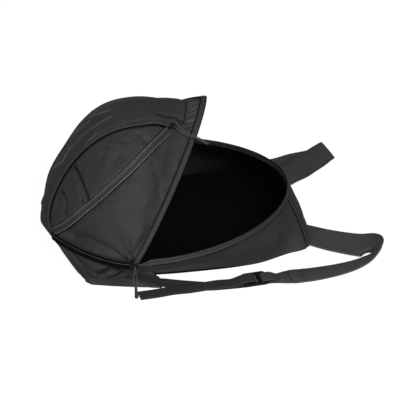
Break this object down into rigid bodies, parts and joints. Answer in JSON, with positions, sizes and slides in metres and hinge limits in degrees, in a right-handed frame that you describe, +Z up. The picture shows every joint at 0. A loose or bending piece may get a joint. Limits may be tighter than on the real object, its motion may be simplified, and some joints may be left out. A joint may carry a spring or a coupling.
{
  "type": "helmet backpack",
  "caption": "Soft nylon backpack for a full-face helmet, lying on its back with the main zip open and the dome-shaped lid raised over the tray, with padded shoulder straps.",
  "frame": {"origin": "middle of the back panel's flat underside, on the floor the bag lies on", "axes": "+Z up from the floor, +X towards the end with the shoulder straps, +Y across the bag"},
  "size_m": [0.5208, 0.3853, 0.2274],
  "materials": {
    "nylon": "coated black nylon",
    "zip_tape": "black coil zip tape",
    "webbing": "black woven webbing",
    "plastic": "black moulded",
    "cord": "black braided cord"
  },
  "bodies": {
    "root": {"back_panel": "nylon", "top_end_wall": "nylon", "bottom_end_wall": "nylon", "crown_panel": "nylon", "tip_panel": "nylon", "mouth_tape": "zip_tape", "rim_tape": "zip_tape", "side_wall_near": "nylon", "lid_side_near": "nylon", "gusset_near": "nylon", "strap_wing_near": "nylon", "upper_expansion_tape_near": "zip_tape", "lower_expansion_tape_near": "zip_tape", "closed_zip_near": "zip_tape", "main_slider_near": "plastic", "main_pull_grip_near": "plastic", "expansion_slider_near": "plastic", "expansion_pull_grip_near": "plastic", "ladder_lock_near": "plastic", "main_pull_cord_near": "cord", "expansion_pull_cord_near": "cord", "shoulder_strap_near": "webbing", "buckle_loop_near": "webbing", "lower_webbing_near": "webbing", "side_wall_far": "nylon", "lid_side_far": "nylon", "gusset_far": "nylon", "strap_wing_far": "nylon", "upper_expansion_tape_far": "zip_tape", "lower_expansion_tape_far": "zip_tape", "closed_zip_far": "zip_tape", "main_slider_far": "plastic", "main_pull_grip_far": "plastic", "expansion_slider_far": "plastic", "expansion_pull_grip_far": "plastic", "ladder_lock_far": "plastic", "main_pull_cord_far": "cord", "expansion_pull_cord_far": "cord", "shoulder_strap_far": "webbing", "buckle_loop_far": "webbing", "lower_webbing_far": "webbing"}
  },
  "joints": []
}
